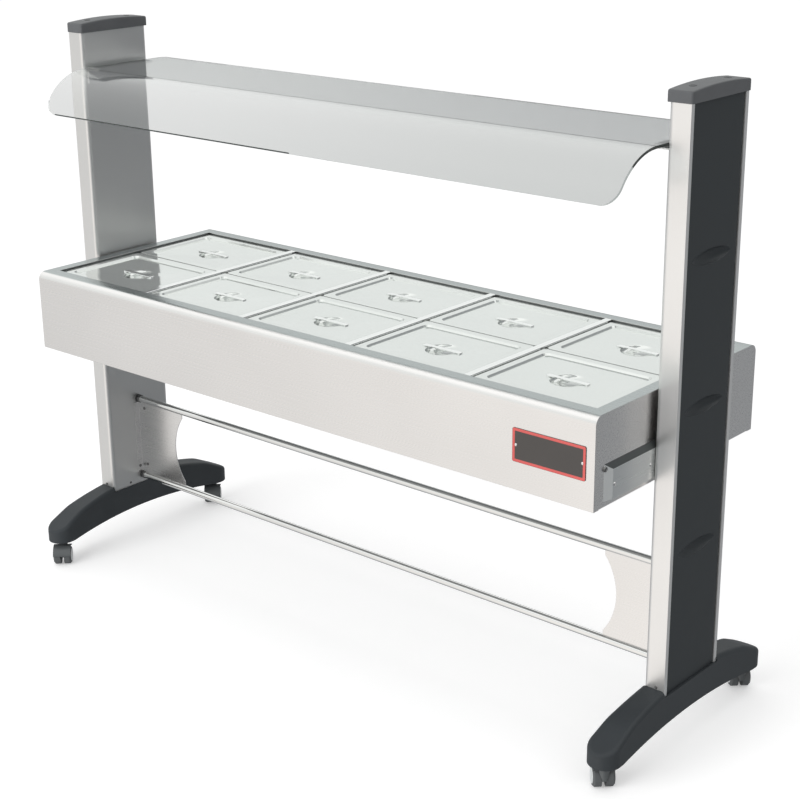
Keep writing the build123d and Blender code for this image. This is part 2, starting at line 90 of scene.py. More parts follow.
def spread(tree, value, low, high):
    ramp = add(tree, "ShaderNodeMapRange")
    ramp.inputs["From Min"].default_value = noise_low
    ramp.inputs["From Max"].default_value = noise_high
    ramp.inputs["To Min"].default_value = low
    ramp.inputs["To Max"].default_value = high
    tree.links.new(value, ramp.inputs["Value"])
    return ramp.outputs["Result"]


def tint(tree, bsdf, value, dark, light):
    mix = add(tree, "ShaderNodeMix", data_type="RGBA")
    mix.inputs["A"].default_value = (*dark, 1)
    mix.inputs["B"].default_value = (*light, 1)
    tree.links.new(value, mix.inputs["Factor"])
    tree.links.new(mix.outputs["Result"], bsdf.inputs["Base Color"])


def relief(tree, bsdf, value, strength, distance, edge):
    bevel = add(tree, "ShaderNodeBevel", samples=4)
    bevel.inputs["Radius"].default_value = edge
    bump = add(tree, "ShaderNodeBump")
    bump.inputs["Strength"].default_value = strength
    bump.inputs["Distance"].default_value = distance
    tree.links.new(value, bump.inputs["Height"])
    tree.links.new(bevel.outputs["Normal"], bump.inputs["Normal"])
    tree.links.new(bump.outputs["Normal"], bsdf.inputs["Normal"])


def shade(color, factor):
    return tuple(min(1, channel * factor) for channel in color)


def brushed(name, color, roughness, stretch, edge=0.0008, top=None, grain_height=0.008, metal=1.0,
            wear=0.03):
    """Brushed metal: the grain runs along the axis that the stretch leaves small."""
    material, bsdf = shader(name, color, metal, roughness)
    tree = material.node_tree
    grain = noise(tree, 1.0, 4.0, stretch)
    clouds = noise(tree, 3.5, 3.0)
    tree.links.new(spread(tree, grain, roughness - wear, roughness + wear), bsdf.inputs["Roughness"])
    tint(tree, bsdf, spread(tree, clouds, 0.0, 1.0), shade(color, 0.98), shade(color, 1.02))
    # The top colour, when given, is painted shade on faces that look upward
    if top:
        paint_top_shade(tree, bsdf, top)
    relief(tree, bsdf, grain, grain_height, grain_distance, edge)
    return material


def paint_top_shade(tree, bsdf, color):
    """Paints the given shade colour over faces that look upward: painted shade."""
    surface = add(tree, "ShaderNodeNewGeometry")
    split = add(tree, "ShaderNodeSeparateXYZ")
    upward = add(tree, "ShaderNodeMapRange", interpolation_type="SMOOTHSTEP")
    upward.inputs["From Min"].default_value = top_shade_starts
    upward.inputs["From Max"].default_value = top_shade_full
    mix = add(tree, "ShaderNodeMix", data_type="RGBA")
    mix.inputs["B"].default_value = (*color, 1)
    tree.links.new(surface.outputs["Normal"], split.inputs["Vector"])
    tree.links.new(split.outputs["Z"], upward.inputs["Value"])
    tree.links.new(upward.outputs["Result"], mix.inputs["Factor"])
    tree.links.new(bsdf.inputs["Base Color"].links[0].from_socket, mix.inputs["A"])
    tree.links.new(mix.outputs["Result"], bsdf.inputs["Base Color"])


def moulded(name, color, roughness, grain_scale=900.0, edge=0.001, gloss=0.5):
    material, bsdf = shader(name, color, 0.0, roughness)
    bsdf.inputs["Specular IOR Level"].default_value = gloss
    tree = material.node_tree
    grain = noise(tree, grain_scale, 2.0)
    clouds = noise(tree, 9.0, 4.0)
    tree.links.new(spread(tree, clouds, roughness - 0.05, roughness + 0.05), bsdf.inputs["Roughness"])
    tint(tree, bsdf, spread(tree, clouds, 0.0, 1.0), shade(color, 0.92), shade(color, 1.08))
    relief(tree, bsdf, grain, moulded_grain, grain_distance, edge)
    return material


def along(tree, axis, start, stop):
    coords = add(tree, "ShaderNodeTexCoord")
    split = add(tree, "ShaderNodeSeparateXYZ")
    ramp = add(tree, "ShaderNodeMapRange", interpolation_type="SMOOTHSTEP")
    ramp.inputs["From Min"].default_value = start
    ramp.inputs["From Max"].default_value = stop
    tree.links.new(coords.outputs["Object"], split.inputs["Vector"])
    tree.links.new(split.outputs[axis], ramp.inputs["Value"])
    return ramp.outputs["Result"]


def blend(tree, factor, first, second):
    mix = add(tree, "ShaderNodeMix", data_type="RGBA")
    for socket, color in (("A", first), ("B", second)):
        if isinstance(color, tuple):
            mix.inputs[socket].default_value = (*color, 1)
        else:
            tree.links.new(color, mix.inputs[socket])
    tree.links.new(factor, mix.inputs["Factor"])
    return mix.outputs["Result"]


glass_index = 1.5
glass_shade_reach = 0.9
hood_line, shelf_line = -0.150, -0.105


def clear_glass(name):
    """Clear glass with painted shade: greyer on the shelf than on the hood and greyer to the right."""
    material, bsdf = shader(name, (0.86, 0.88, 0.87), 0.0, 0.0)
    tree = material.node_tree
    bsdf.inputs["IOR"].default_value = glass_index
    bsdf.inputs["Transmission Weight"].default_value = 1.0
    smears = noise(tree, 6.0, 5.0)
    tree.links.new(spread(tree, smears, 0.0, 0.02), bsdf.inputs["Roughness"])
    # Painted shade: the glass colour darkens towards +X and on the shelf
    length = along(tree, "X", -glass_shade_reach, glass_shade_reach)
    hood = blend(tree, length, (0.98, 0.99, 0.985), (0.79, 0.81, 0.80))
    shelf = blend(tree, length, (0.74, 0.76, 0.75), (0.44, 0.455, 0.46))
    color = blend(tree, along(tree, "Y", hood_line, shelf_line), hood, shelf)
    tree.links.new(color, bsdf.inputs["Base Color"])
    return material


finishes = {
    # The stainless top colour is painted shade: upward faces such as the rim turn a darker bluish grey
    "stainless_sheet": brushed("stainless_sheet", (0.86, 0.85, 0.84), 0.28, (4, 900, 900),
                               top=(0.45, 0.485, 0.485), grain_height=0.0015, wear=0.015),
    "pan_steel": brushed("pan_steel", (0.82, 0.82, 0.81), 0.20, (120, 120, 30)),
    "lid_steel": brushed("lid_steel", (0.80, 0.825, 0.805), 0.09, (8, 600, 600), 0.0004, metal=0.82),
    "rail_tube": brushed("rail_tube", (0.86, 0.86, 0.85), 0.12, (4, 600, 600)),
    "bolt_steel": brushed("bolt_steel", (0.50, 0.50, 0.50), 0.35, (200, 200, 200)),
    "post_aluminium": brushed("post_aluminium", (0.84, 0.835, 0.825), 0.32, (700, 700, 4),
                              grain_height=0.004, metal=0.88),
    "panel_plastic": moulded("panel_plastic", (0.024, 0.029, 0.032), 0.45, gloss=0.4),
    "cap_plastic": moulded("cap_plastic", (0.084, 0.088, 0.093), 0.45),
    "foot_plastic": moulded("foot_plastic", (0.037, 0.042, 0.046), 0.42, gloss=0.2),
    "foam": moulded("foam", (0.80, 0.74, 0.55), 0.85, 300.0),
    "pack_plastic": moulded("pack_plastic", (0.20, 0.42, 0.66), 0.30, 200.0),
    "drain_brass": brushed("drain_brass", (0.62, 0.58, 0.50), 0.30, (200, 200, 200)),
    "lever_paint": moulded("lever_paint", (0.06, 0.10, 0.32), 0.35),
    "clear_glass": clear_glass("clear_glass"),
    "pad_rubber": moulded("pad_rubber", (0.30, 0.30, 0.30), 0.7),
    "plate_paint": moulded("plate_paint", (0.049, 0.044, 0.041), 0.38, 500.0, 0.0005),
    "caster_plastic": moulded("caster_plastic", (0.085, 0.092, 0.095), 0.32, gloss=0.4),
    "wheel_rubber": moulded("wheel_rubber", (0.088, 0.094, 0.097), 0.50, gloss=0.4),
}
border_paint = moulded("border_paint", (0.53, 0.088, 0.080), 0.38, 500.0, 0.0003)
hub_plastic = moulded("hub_plastic", (0.62, 0.64, 0.64), 0.35)
plug_plastic = moulded("plug_plastic", (0.050, 0.053, 0.056), 0.45)
screw_steel = brushed("screw_steel", (0.20, 0.20, 0.20), 0.35, (200, 200, 200), 0.0003)
# Painted reflection: dark and pale stand-ins for what the glass edges reflect
dark_reflecting_edge = moulded("dark_reflecting_edge", (0.030, 0.036, 0.035), 0.12, 60.0, 0.0002)
pale_reflecting_edge = moulded("pale_reflecting_edge", (0.50, 0.53, 0.52), 0.12, 60.0, 0.0002)

# Painted shade: the inner well is dark steel standing for the shade in the narrow gap round the lids
well_painted_shade = brushed("well_painted_shade", (0.22, 0.23, 0.23), 0.42, (200, 200, 200))
bar_steel = brushed("bar_steel", (0.94, 0.95, 0.94), 0.14, (600, 4, 600))
# The hanger's top colour is painted shadow, near black on its upward faces
hanger_steel = brushed("hanger_steel", (0.84, 0.86, 0.855), 0.28, (900, 4, 900), top=(0.10, 0.11, 0.11),
                       grain_height=0.001, wear=0.008)
# Painted shade: the left post takes a darker copy of the post aluminium
left_post = brushed("left_post_painted_shade", (0.75, 0.75, 0.74), 0.32, (700, 700, 4), grain_height=0.004,
                    metal=0.90)
# Painted shade: the basin's base panel is darker steel standing for the shade under the basin, seen in the rails
base_painted_shade_steel = brushed("base_painted_shade_steel", (0.46, 0.47, 0.47), 0.45, (4, 300, 300))
flange_steel = brushed("flange_steel", (0.84, 0.86, 0.855), 0.40, (900, 4, 900), grain_height=0.001,
                       metal=0.72)
# Dark steel painted on the hangers' top faces as shadow
painted_shade_steel = brushed("painted_shade_steel", (0.10, 0.11, 0.11), 0.45, (900, 4, 900), grain_height=0.001, metal=0.6)
own_finishes = {"left_post_profile": left_post, "basin_base_panel": base_painted_shade_steel, "inner_well": well_painted_shade,
                "pan_support_bars": bar_steel, "left_hanger": hanger_steel, "right_hanger": hanger_steel}

for part in frame["record"]["subparts"]:
    mesh = nodes[part["node"]].data
    mesh.materials.clear()
    mesh.materials.append(own_finishes.get(part["node"]) or finishes[part["material_slot"]])


# Small pieces, built in mesh code

def put(name, mesh_data, body, material):
    mesh = bpy.data.meshes.new(name)
    mesh_data.normal_update()
    mesh_data.to_mesh(mesh)
    mesh_data.free()
    mesh.materials.append(material)
    piece = bpy.data.objects.new(name, mesh)
    bpy.context.scene.collection.objects.link(piece)
    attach(piece, body)
    return piece


def turned(data, profile, origin, axis, segments=24):
    turn = Vector((0, 0, 1)).rotation_difference(Vector(axis)).to_matrix()
    rings = []
    for radius, height in profile:
        if radius == 0:
            rings.append([data.verts.new(Vector(origin) + turn @ Vector((0, 0, height)))])
            continue
        ring = []
        for step in range(segments):
            angle = 2 * math.pi * step / segments
            spot = Vector((radius * math.cos(angle), radius * math.sin(angle), height))
            ring.append(data.verts.new(Vector(origin) + turn @ spot))
        rings.append(ring)
    for inner, outer in zip(rings, rings[1:]):
        for step in range(segments):
            after = (step + 1) % segments
            corners = [outer[step], outer[after]] if len(outer) > 1 else [outer[0]]
            corners += [inner[after], inner[step]] if len(inner) > 1 else [inner[0]]
            face = data.faces.new(corners)
            face.smooth = True


def turned_group(name, profile, places, body, material, segments=24):
    data = bmesh.new()
    for origin, axis in places:
        turned(data, profile, origin, axis, segments)
    return put(name, data, body, material)


def screw_profile(radius, height):
    socket = 0.45 * radius
    return [(0, 0.35 * height), (socket, 0.35 * height), (socket, 0.95 * height), (0.6 * radius, height),
            (0.9 * radius, 0.7 * height), (radius, 0.2 * height), (radius, 0)]


def rivet_profile(radius, height):
    return [(0, height), (0.5 * radius, 0.9 * height), (0.85 * radius, 0.5 * height), (radius, 0)]


def rounded_loop(center, half_x, half_z, corner, steps=6):
    loop = []
    for turn, (sx, sz) in enumerate(((1, 1), (-1, 1), (-1, -1), (1, -1))):
        for step in range(steps + 1):
            angle = math.pi / 2 * (turn + step / steps)
            loop.append((center.x + sx * (half_x - corner) + corner * math.cos(angle),
                         center.z + sz * (half_z - corner) + corner * math.sin(angle)))
    return loop


# Name plate, left bare inside its coloured border

plate_low, plate_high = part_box("nameplate")
plate_middle = (plate_low + plate_high) / 2
plate_half = (plate_high - plate_low) / 2
plate_corner, least_corner = 0.004, 0.0005
left_rivet_inset, right_rivet_inset, plate_rivet = 0.009, 0.008, (0.0034, 0.0016)
data = bmesh.new()
border_loops = [(0.0004, 0.0000), (0.0008, 0.0004), (0.0062, 0.0004), (0.0066, 0.0000)]
rows = []
for inset, proud in border_loops:
    corner = max(least_corner, plate_corner - inset)
    loop = rounded_loop(plate_middle, plate_half.x - inset, plate_half.z - inset, corner)
    rows.append([data.verts.new((x, plate_low.y - proud, z)) for x, z in loop])
for outer, inner in zip(rows, rows[1:]):
    for step in range(len(outer)):
        after = (step + 1) % len(outer)
        data.faces.new((outer[step], outer[after], inner[after], inner[step]))
put("nameplate_border", data, "counter", border_paint)
rivets = [(Vector((plate_low.x + left_rivet_inset, plate_low.y, plate_middle.z)), (0, -1, 0)),
          (Vector((plate_high.x - right_rivet_inset, plate_low.y, plate_middle.z)), (0, -1, 0))]
turned_group("nameplate_rivets", rivet_profile(*plate_rivet), rivets, "counter", finishes["rail_tube"])


# Screws, collars and wheel hubs, each set on the face that carries it; heads are radius and height

def both_ends(places):
    return places + [((-x, y, z), (-nx, ny, nz)) for (x, y, z), (nx, ny, nz) in places]


post_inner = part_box("right_post_profile")[0].x
post_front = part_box("right_post_profile")[0].y
casing_end = 0.883
gusset_sheet = 0.002
gusset_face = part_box("right_gusset")[1].x - gusset_sheet
outward, inward, frontward = (1, 0, 0), (-1, 0, 0), (0, -1, 0)
hanger_head, end_bolt_head = (0.0042, 0.0020), (0.0060, 0.0045)
gusset_head, post_head = (0.0042, 0.0028), (0.0035, 0.0020)

hanger_screws = [((post_inner, -0.2526, 0.6894), outward), ((post_inner, -0.1190, 0.6893), outward)]
turned_group("hanger_screws", rivet_profile(*hanger_head), both_ends(hanger_screws), "counter",
             finishes["rail_tube"])
end_bolts = [((casing_end, -0.278, 0.727), outward)]
turned_group("end_bolts", screw_profile(*end_bolt_head), both_ends(end_bolts), "counter", screw_steel)
plate_screw_x = post_inner - 0.025
gusset_screws = [((plate_screw_x, side * gusset_sheet / 2, z), (0, side, 0)) for z in (0.2154, 0.3850)
                 for side in (-1, 1)]
gusset_screws += [((gusset_face, side * 0.010, 0.2080), inward) for side in (-1, 1)]
turned_group("gusset_screws", screw_profile(*gusset_head), both_ends(gusset_screws), "counter", screw_steel)
post_screws = [((0.922, post_front, 0.1740), frontward), ((post_inner, -0.0476, 0.1663), inward),
               ((post_inner, 0.0476, 0.1663), inward)]
turned_group("post_screws", screw_profile(*post_head), both_ends(post_screws), "counter", screw_steel)

collar_profile = [(0.0096, 0.0140), (0.0108, 0.0136), (0.0112, 0.0125), (0.0112, 0.0), (0.0096, 0.0)]
for rail in ("upper_rail", "lower_rail"):
    low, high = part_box(rail)
    collars = [((high.x, 0, (low.z + high.z) / 2), inward)]
    turned_group(f"{rail}_collars", collar_profile, both_ends(collars), "counter", screw_steel)

hub_profile = [(0, 0.0004), (0.0030, 0.0004), (0.0042, 0.0012), (0.0125, 0.0006), (0.0150, 0.0012),
               (0.0172, 0.0012), (0.0178, 0.0006), (0.0178, -0.0004)]
hub_segments = 32
wheel_outside = 0.024
for joint in frame["joints"]:
    if joint["name"].endswith("_roll"):
        axle = Vector(joint["axis"]).normalized()
        hubs = [(Vector(joint["pos_m"]) + side * wheel_outside * axle, side * axle) for side in (-1, 1)]
        turned_group(joint["name"].replace("_roll", "_wheel_hubs"), hub_profile, hubs, joint["child"],
                     hub_plastic, hub_segments)


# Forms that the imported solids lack: they replace their nodes

tiny = 1e-6
crease_angle = math.radians(35)


def skin(data, rows, closed=True):
    """Joins rows of points by quads; a row of one point closes the skin."""
    made = [[data.verts.new(spot) for spot in row] for row in rows]
    faces = []
    for first, second in zip(made, made[1:]):
        count = max(len(first), len(second))
        for step in range(count if closed else count - 1):
            after = (step + 1) % count
            corners = [first[step], first[after]] if len(first) > 1 else [first[0]]
            corners += [second[after], second[step]] if len(second) > 1 else [second[0]]
            faces.append(data.faces.new(corners))
    return faces


def prism(data, outline, back):
    """Closes two copies of an outline, one moved by the given step."""
    front = [data.verts.new(spot) for spot in outline]
    rear = [data.verts.new(Vector(spot) + back) for spot in outline]
    data.faces.new(front)
    data.faces.new(rear[::-1])
    for step in range(len(front)):
        after = (step + 1) % len(front)
        data.faces.new((front[after], front[step], rear[step], rear[after]))


def finish_form(name, data, node, material, body="counter"):
    bmesh.ops.remove_doubles(data, verts=data.verts[:], dist=tiny)
    bmesh.ops.recalc_face_normals(data, faces=data.faces[:])
    piece = put(name, data, body, material)
    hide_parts(node)
    return piece


# Lids: folded edge, border, step, hipped panel, bowl and strap handle (metres)
lid_half_x, lid_half_y, lid_corner = 0.1615, 0.1315, 0.013
lid_sheet, lid_fold, lid_border, lid_edge = 0.001, 0.0040, 0.020, 0.0006
lid_step, lid_run, lid_hip, bowl_smooth_below = 0.0050, 0.0033, 0.0025, 0.0005
mouth_corner, middle_half_x, middle_half_y, middle_corner = 0.016, 0.053, 0.043, 0.006
# Bowl: left end, right end, half depth across and depth of each ring, steep at the left and easy at the right
bowl_rings = [(-0.042, 0.042, 0.042, 0.0), (-0.0408, 0.026, 0.037, 0.0021),
              (-0.0394, 0.0095, 0.031, 0.0043), (-0.0377, -0.007, 0.025, 0.0065),
              (-0.0352, -0.020, 0.018, 0.0084)]
bowl_low = (-0.029, 0.0090)
# Strap: place along the lid, underside and top above the panel, half width
strap = [(-0.056, -0.0002, 0.0027, 0.0060), (-0.052, -0.0002, 0.0030, 0.0065),
         (-0.044, 0.0010, 0.0030, 0.0062), (-0.036, 0.0010, 0.0030, 0.0060), (0.044, 0.0010, 0.0030, 0.0060),
         (0.048, -0.0002, 0.0030, 0.0060), (0.050, -0.0002, 0.0024, 0.0056)]
sheet_shift = 0.8
cad_handle_over_lid = 0.003
lid_raise = 0.0030


def lid_loops(drop):
    """Half sizes, corner and height of each loop, from the fold to the middle of the panel."""
    mouth_x, mouth_y = lid_half_x - lid_border, lid_half_y - lid_border
    shift = sheet_shift * drop
    side = [lid_half_x - drop, lid_half_y - drop, lid_corner - drop]
    step_corner = mouth_corner - lid_run
    return [(*side, -lid_fold), (*side, -lid_edge - drop), (*(size - lid_edge for size in side), -drop),
            (mouth_x + shift, mouth_y + shift, mouth_corner, -drop),
            (mouth_x - lid_run + shift, mouth_y - lid_run + shift, step_corner, -lid_step - drop),
            (middle_half_x, middle_half_y, middle_corner, -lid_step - lid_hip - drop)]


def lid_rows(centre, drop):
    rows = []
    for half_x, half_y, corner, height in lid_loops(drop):
        flat = rounded_loop(Vector((centre.x, 0, centre.y)), half_x, half_y, corner)
        rows.append([Vector((x, y, centre.z + height)) for x, y in flat])
    floor = centre.z - lid_step - lid_hip - drop
    for left, right, half, depth in bowl_rings:
        reach, x = (right - left) / 2, (right + left) / 2
        flat = rounded_loop(Vector((centre.x + x, 0, centre.y)), reach, half, reach)
        rows.append([Vector((x, y, floor - depth)) for x, y in flat])
    rows.append([Vector((centre.x + bowl_low[0], centre.y, floor - bowl_low[1]))])
    return rows


def strap_rows(centre):
    floor = centre - Vector((0, 0, lid_step + lid_hip))
    return [[floor + Vector((x, y, z)) for y, z in ((-half, top), (half, top), (half, under), (-half, under))]
            for x, under, top, half in strap]


def pressed_lid(node):
    low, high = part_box(node)
    centre = (low + high) / 2
    centre.z = high.z - cad_handle_over_lid + lid_raise
    data = bmesh.new()
    faces = skin(data, lid_rows(centre, lid_sheet)[::-1] + lid_rows(centre, 0.0))
    bowl_top = centre.z - lid_step - lid_hip - bowl_smooth_below
    for face in faces:
        face.smooth = face.calc_center_median().z < bowl_top
    rows = strap_rows(centre)
    strap_faces = skin(data, rows)
    for row in (rows[0], rows[-1]):
        strap_faces.append(data.faces.new([data.verts.new(spot) for spot in row]))
    for face in strap_faces:
        face.material_index = 1
    piece = finish_form(f"pressed_{node}", data, node, finishes["lid_steel"], f"{node}_body")
    piece.data.materials.append(bar_steel)


lid_columns = 5
for row in ("front", "back"):
    for number in range(1, lid_columns + 1):
        pressed_lid(f"{row}_lid_{number}")


# Bars between the columns: a raised hat with rounded edges
bar_count, bar_pitch, bar_top, bar_half, bar_wing = 4, 0.345, 0.8476, 0.009, 0.018
wing_sheet, bar_round, bar_ease = 0.0012, 0.0016, 0.0005


def raised_bars(node):
    low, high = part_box(node)
    bar_foot = low.z + wing_sheet
    section = [(-bar_wing, bar_foot - wing_sheet), (-bar_wing, bar_foot), (-bar_half, bar_foot),
               (-bar_half, bar_top - bar_round), (-bar_half + bar_ease, bar_top - bar_ease),
               (-bar_half + bar_round, bar_top)]
    section += [(-x, z) for x, z in section[::-1]]
    data = bmesh.new()
    for index in range(bar_count):
        x = (index - (bar_count - 1) / 2) * bar_pitch
        outline = [Vector((x + across, low.y, z)) for across, z in section]
        prism(data, outline, Vector((0, high.y - low.y, 0)))
    finish_form("raised_support_bars", data, node, bar_steel)


raised_bars("pan_support_bars")


# Post panels with three finger scoops
scoop_half, scoop_height, scoop_depth, panel_sheet = 0.075, 0.034, 0.012, 0.003
scoop_count, scoop_columns, scoop_rows = 3, 8, 6


def scooped_panel(side, node):
    low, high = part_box(node)
    face = max(high.x, -low.x)
    spacing = (high.z - low.z) / (scoop_count + 1)
    lift = (scoop_height ** 2 / 4 - scoop_depth ** 2) / (2 * scoop_depth)
    bow = (scoop_half ** 2 + scoop_depth ** 2) / (2 * scoop_depth)
    across = [scoop_half * step / scoop_columns for step in range(-scoop_columns, scoop_columns + 1)]
    places = [low.y] + across + [high.y]
    rows = []
    for sink in (0.0, panel_sheet):
        for y in places if sink == 0 else places[::-1]:
            inside = abs(y) < scoop_half
            deep = math.sqrt(bow ** 2 - y ** 2) - bow + scoop_depth if inside else 0.0
            reach = math.sqrt((lift + deep) ** 2 - lift ** 2)
            row = [Vector((side * (face - sink), y, low.z))]
            for index in range(scoop_count):
                middle = low.z + (index + 1) * spacing
                for step in range(-scoop_rows, scoop_rows + 1):
                    z = reach * step / scoop_rows
                    depth = math.sqrt((lift + deep) ** 2 - z ** 2) - lift
                    row.append(Vector((side * (face - sink - depth), y, middle + z)))
            row.append(Vector((side * (face - sink), y, high.z)))
            rows.append(row)
    data = bmesh.new()
    rows.append(rows[0])
    skin(data, rows, closed=False)
    bmesh.ops.remove_doubles(data, verts=data.verts[:], dist=tiny)
    bmesh.ops.holes_fill(data, edges=[edge for edge in data.edges if edge.is_boundary])
    finish_form(f"scooped_{node}", data, node, finishes["panel_plastic"])


# Post caps: square plan with small corners, crowned along the post's depth
cap_corner, cap_round, cap_overhang, cap_height, cap_crown = 0.006, 0.004, 0.0035, 0.024, 0.006
cap_corner_steps, cap_crown_steps, cap_round_steps = 5, 8, 4


def crowned_cap(node, post):
    low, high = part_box(post)
    middle, half_x = (low.x + high.x) / 2, (high.x - low.x) / 2 + cap_overhang
    half_y = high.y + cap_overhang
    crown_radius = (half_y ** 2 + cap_crown ** 2) / (2 * cap_crown)
    ends = [half_y - cap_corner * (1 - math.sin(math.pi / 2 * step / cap_corner_steps))
            for step in range(cap_corner_steps + 1)]
    between = [half_y * step / cap_crown_steps for step in range(1 - cap_crown_steps, cap_crown_steps)]
    places = [-y for y in ends[::-1]] + between + ends
    rows = []
    for y in places:
        over = max(0.0, abs(y) - half_y + cap_corner)
        reach = half_x - cap_corner + math.sqrt(max(0.0, cap_corner ** 2 - over ** 2))
        edge = max(0.0, abs(y) - half_y + cap_round)
        top = high.z + cap_height + cap_crown - crown_radius + math.sqrt(crown_radius ** 2 - y ** 2)
        top -= cap_round - math.sqrt(max(0.0, cap_round ** 2 - edge ** 2))
        shape = [(reach, high.z)]
        for step in range(cap_round_steps + 1):
            angle = math.pi / 2 * step / cap_round_steps
            shape.append((reach - cap_round * (1 - math.cos(angle)), top - cap_round * (1 - math.sin(angle))))
        shape += [(-x, z) for x, z in shape[::-1]]
        rows.append([Vector((middle + x, y, z)) for x, z in shape])
    data = bmesh.new()
    for face in skin(data, rows):
        face.smooth = True
    for row in (data.verts[:len(rows[0])], data.verts[-len(rows[0]):]):
        data.faces.new(row)
    piece = finish_form(f"crowned_{node}", data, node, finishes["cap_plastic"])
    piece.data.set_sharp_from_angle(angle=crease_angle)


for side, end in ((1, "right"), (-1, "left")):
    scooped_panel(side, f"{end}_post_panel")
    crowned_cap(f"{end}_post_cap", f"{end}_post_profile")

# Plugs on the crown of each cap
post_low, post_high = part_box("right_post_profile")
cap_half, plug_y = post_high.y + cap_overhang, 0.066
plug_z = post_high.z + cap_height + cap_crown * (1 - (plug_y / cap_half) ** 2)
plug_lean = 2 * cap_crown * plug_y / cap_half ** 2
plugs = [(((post_low.x + post_high.x) / 2, side * plug_y, plug_z), (0, side * plug_lean, 1))
         for side in (-1, 1)]
plug_profile = [(0, 0.0003), (0.0042, 0.0003), (0.0048, 0.0008), (0.0075, 0.0008), (0.0080, 0.0004),
                (0.0080, -0.0004)]
turned_group("cap_plugs", plug_profile, both_ends(plugs), "counter", plug_plastic)


# Basin casing with a tight long edge, its end plates, and hangers with a slanted flange and a sloped top
casing_half, casing_low, casing_top, casing_round = 0.314, 0.643, 0.848, 0.020
well_half_x, well_half_y, casing_flange, casing_sheet = 0.854, 0.268, 0.018, 0.0012
end_gap, end_depth, flange_slant, hanger_rise = 0.0002, 0.018, 0.022, 0.014
top_lean, flange_lean = 0.2, 0.1


def round_edge(half, top, radius, steps=8):
    arc = []
    for step in range(steps + 1):
        angle = math.pi / 2 * step / steps
        arc.append((half - radius * (1 - math.sin(angle)), top - radius * (1 - math.cos(angle))))
    return arc


def casing_points(inset):
    edge = round_edge(casing_half - inset, casing_top - inset, casing_round - inset)
    profile = [(well_half_y, casing_top - inset)] + edge
    profile += [(casing_half - inset, casing_low + inset), (casing_half - casing_flange, casing_low + inset)]
    stations = (-casing_end, -well_half_x, well_half_x, casing_end)
    return {(side, row, column): Vector((x, side * y, z)) for side in (-1, 1)
            for row, (y, z) in enumerate(profile) for column, x in enumerate(stations)}


def bent_casing(node):
    """Two skins with the same faces, joined along every open edge."""
    outer_points, inner_points = casing_points(0.0), casing_points(casing_sheet)
    last = max(row for side, row, column in outer_points)
    quads = [((side, row, column), (side, row, column + 1), (side, row + 1, column + 1),
              (side, row + 1, column)) for side in (-1, 1) for row in range(last) for column in range(3)]
    quads += [((-1, 0, column), (-1, 0, column + 1), (1, 0, column + 1), (1, 0, column))
              for column in (0, 2)]
    data = bmesh.new()
    outside = {key: data.verts.new(spot) for key, spot in outer_points.items()}
    inside = {key: data.verts.new(spot) for key, spot in inner_points.items()}
    uses = {}
    for quad in quads:
        for corners in ([outside[key] for key in quad], [inside[key] for key in quad[::-1]]):
            data.faces.new(corners).smooth = True
        for edge in zip(quad, quad[1:] + quad[:1]):
            uses.setdefault(tuple(sorted(edge)), []).append(edge)
    for first, second in (edges[0] for edges in uses.values() if len(edges) == 1):
        data.faces.new((outside[second], outside[first], inside[first], inside[second]))
    piece = finish_form("bent_casing", data, node, finishes["stainless_sheet"])
    piece.data.set_sharp_from_angle(angle=crease_angle)


def end_plate(side, node):
    inset = casing_sheet + end_gap
    edge = round_edge(casing_half - inset, casing_top - inset, casing_round - inset)
    outline = edge + [(casing_half - inset, casing_low + inset)]
    outline = [(-y, z) for y, z in outline[::-1]] + outline
    data = bmesh.new()
    prism(data, [Vector((side * casing_end, y, z)) for y, z in outline],
          Vector((-side * end_depth, 0, 0)))
    finish_form(f"wide_{node}", data, node, finishes["stainless_sheet"])


def slanted_hanger(side, node):
    low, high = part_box(node)
    plan = [(casing_end, low.y - flange_slant), (post_inner, low.y), (post_inner, high.y),
            (casing_end, high.y)]
    data = bmesh.new()
    prism(data, [Vector((side * x, y, low.z)) for x, y in plan], Vector((0, 0, high.z - low.z)))
    for vert in data.verts:
        if vert.co.z > high.z - tiny and abs(vert.co.x) < casing_end + tiny:
            vert.co.z += hanger_rise
    top_faces = [face for face in data.faces if face.calc_center_median().z > high.z - tiny]
    bmesh.ops.triangulate(data, faces=top_faces)
    piece = finish_form(f"slanted_{node}", data, node, hanger_steel)
    piece.data.materials.append(flange_steel)
    piece.data.materials.append(painted_shade_steel)
    # Faces that look upward take the dark painted shadow; the slanted flange takes flange_steel
    for face in piece.data.polygons:
        if face.normal.z > top_lean:
            face.material_index = 2
        elif face.normal.y < -flange_lean and abs(face.normal.x) > flange_lean:
            face.material_index = 1


bent_casing("basin_casing")
for side, end in ((1, "right"), (-1, "left")):
    end_plate(side, f"basin_{end}_end")
    slanted_hanger(side, f"{end}_hanger")


# Polished edges of the bent glass: ribbons that follow the sheet's outline, with dark stretches and pale stretches
# as painted reflection

glass_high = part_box("sneeze_guard")[1]
glass_sheet, bend_start, bend_radius, bend_turn = 0.006, 0.118, 0.150, math.radians(70)
front_corner, back_corner = 0.040, 0.010
edge_ease, edge_proud, edge_over = 0.0004, 0.0003, 0.0002
# back_split and the dark share mark where the painted dark reflection on the edges ends
front_lip, back_lip, back_split, dark_reflection_share = 0.0025, 0.0040, 0.2, 0.52
flat_run = glass_high.y + bend_start
mean_radius = bend_radius - glass_sheet / 2
sheet_run = flat_run + mean_radius * bend_turn


def on_glass(x, run, depth):
    if run <= flat_run:
        return Vector((x, glass_high.y - run, glass_high.z - glass_sheet / 2 + depth))
    angle = (run - flat_run) / mean_radius
    radius = mean_radius + depth
    return Vector((x, -bend_start - radius * math.sin(angle),
                   glass_high.z - bend_radius + radius * math.cos(angle)))


